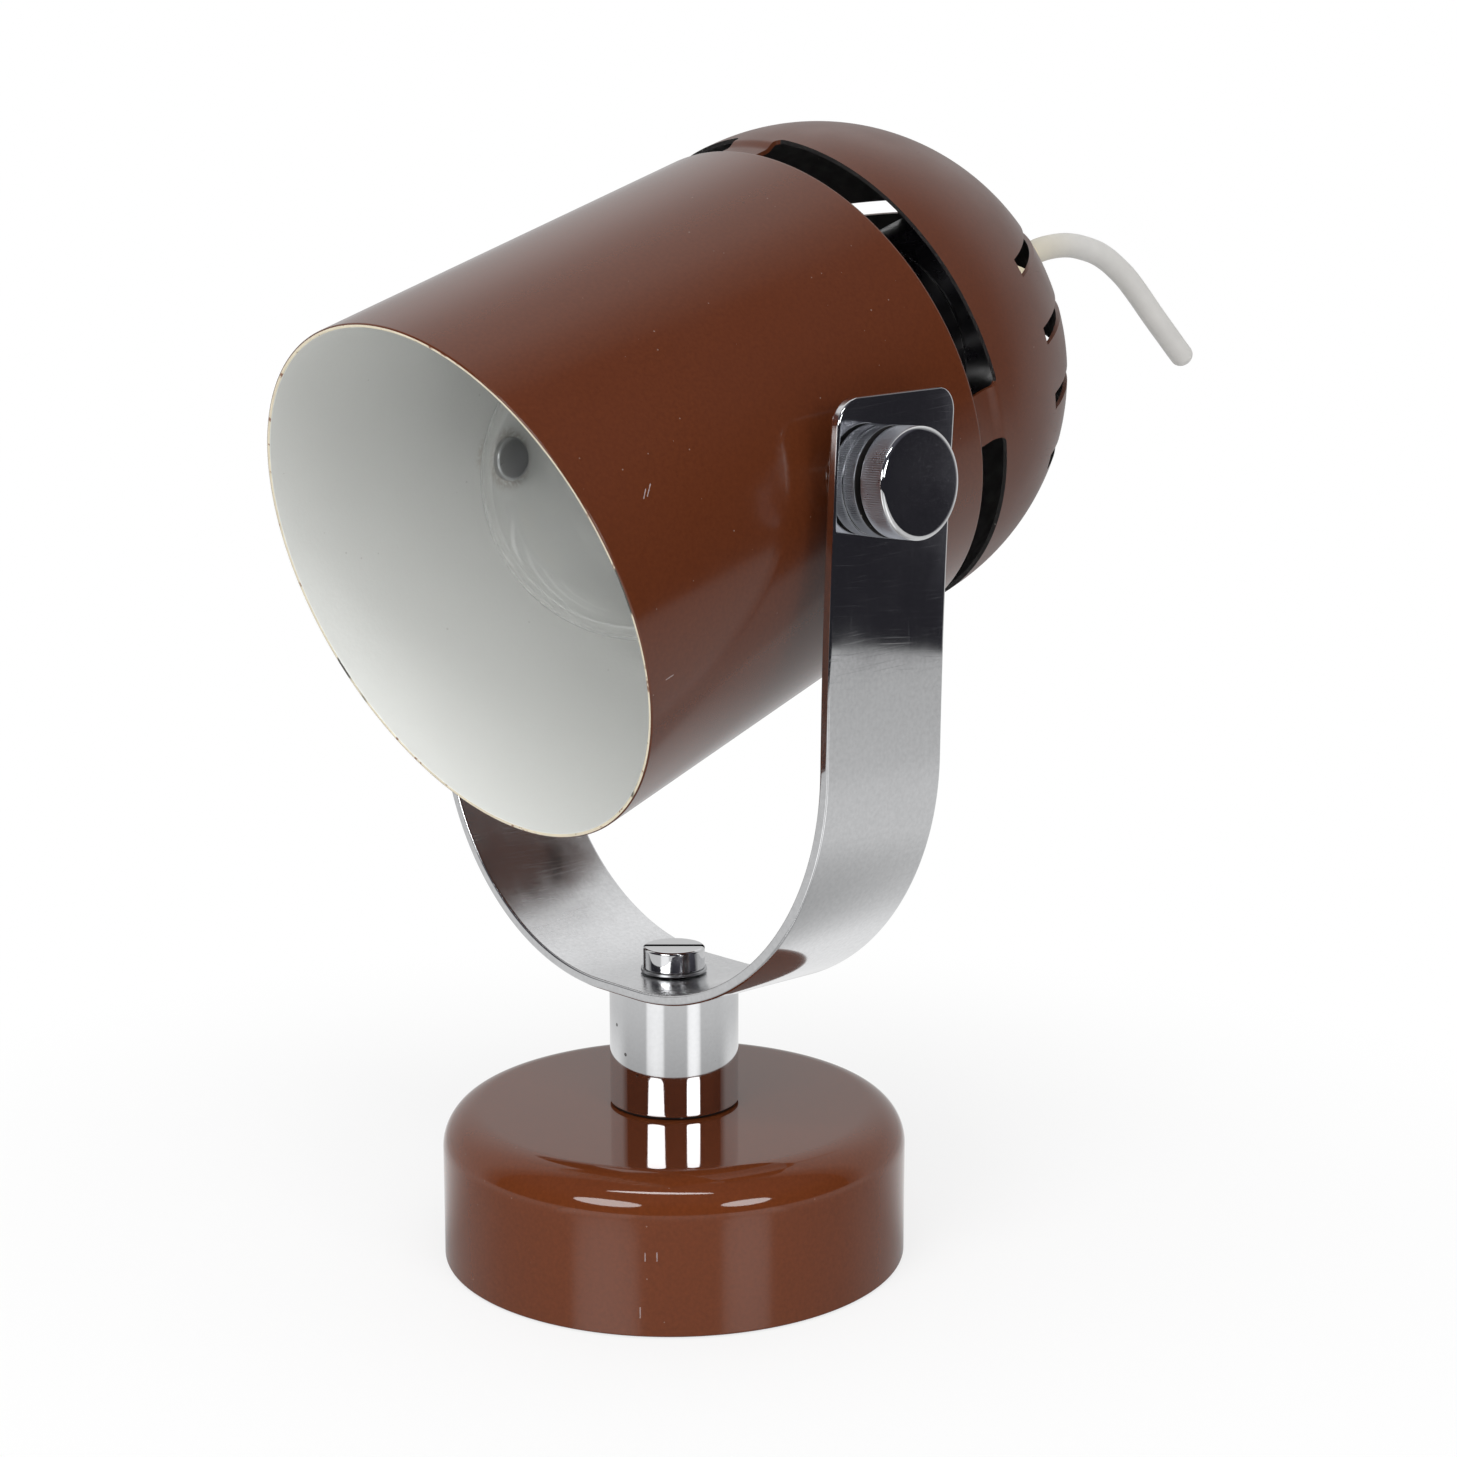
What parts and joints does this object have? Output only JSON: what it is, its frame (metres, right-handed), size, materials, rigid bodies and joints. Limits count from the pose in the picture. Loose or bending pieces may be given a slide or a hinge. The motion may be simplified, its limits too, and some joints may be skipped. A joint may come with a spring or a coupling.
{
  "type": "wall spot lamp",
  "caption": "Adjustable wall spot with a tubular lacquered shade and vented dome, tilting in a chromed U-shaped yoke that swivels on a round canopy.",
  "frame": {"origin": "middle of the canopy's open face, on the wall, at the centre of the two wall-screw slots", "axes": "+Z out of the wall along the stem, X along the tilt axis, -Y the way the mouth looks in plan"},
  "size_m": [0.13, 0.2292, 0.2168],
  "materials": {
    "brown_lacquer": "glossy red-brown stove lacquer on drawn sheet",
    "chrome_plate": "bright chromium plate with fine wear",
    "zinc_steel": "dull zinc plate",
    "brass_sheet": "plain pressed brass",
    "black_moulding": "polished black moulding",
    "white_ceramic": "glazed ceramic",
    "clear_glass": "clear blown glass",
    "white_cord": "soft white sheath",
    "aged_nylon": "yellowed natural nylon",
    "solder": "dull solder"
  },
  "bodies": {
    "base": {"base_canopy": "brown_lacquer", "wall_bracket": "zinc_steel", "bracket_nut": "zinc_steel", "stem_collar": "chrome_plate", "swivel_screw": "chrome_plate", "tension_washer": "zinc_steel"},
    "yoke": {"yoke_strap": "chrome_plate"},
    "head": {"shade_tube": "brown_lacquer", "rear_dome": "brown_lacquer", "pivot_stud_right": "zinc_steel", "pivot_stud_left": "zinc_steel", "spacer_right": "chrome_plate", "spacer_left": "chrome_plate", "holder_cap": "black_moulding", "holder_skirt": "black_moulding", "holder_core": "white_ceramic", "thread_shell": "brass_sheet", "centre_contact": "brass_sheet", "terminal_screws": "brass_sheet", "entry_nipple": "brass_sheet", "tooth_washer": "zinc_steel", "cord_grip": "aged_nylon", "lead_wires": "white_cord", "cord_tail": "white_cord"},
    "knob_right": {"knob_right": "chrome_plate"},
    "knob_left": {"knob_left": "chrome_plate"},
    "bulb": {"bulb_glass": "clear_glass", "bulb_cap": "brass_sheet", "bulb_insulator": "black_moulding", "bulb_contact": "solder", "bulb_stem": "clear_glass", "filament_supports": "zinc_steel", "filament": "zinc_steel"}
  },
  "joints": [
    {"name": "yoke_swivel", "type": "hinge", "parent": "base", "child": "yoke", "pos_m": [0, 0, 0.053], "axis": [0, 0, 1], "continuous": true},
    {"name": "head_tilt", "type": "hinge", "parent": "yoke", "child": "head", "pos_m": [0, -0.0025, 0.152], "axis": [1, 0, 0], "range_deg": [-70, 68.5]},
    {"name": "knob_right_turn", "type": "hinge", "parent": "head", "child": "knob_right", "pos_m": [0.0602, -0.0025, 0.152], "axis": [1, 0, 0], "range_deg": [0, 360]},
    {"name": "knob_left_turn", "type": "hinge", "parent": "head", "child": "knob_left", "pos_m": [-0.0602, -0.0025, 0.152], "axis": [-1, 0, 0], "range_deg": [0, 360]},
    {"name": "bulb_turn", "type": "hinge", "parent": "head", "child": "bulb", "pos_m": [0, -0.0025, 0.152], "axis": [0, -0.9304, -0.3665], "range_deg": [0, 360]}
  ]
}
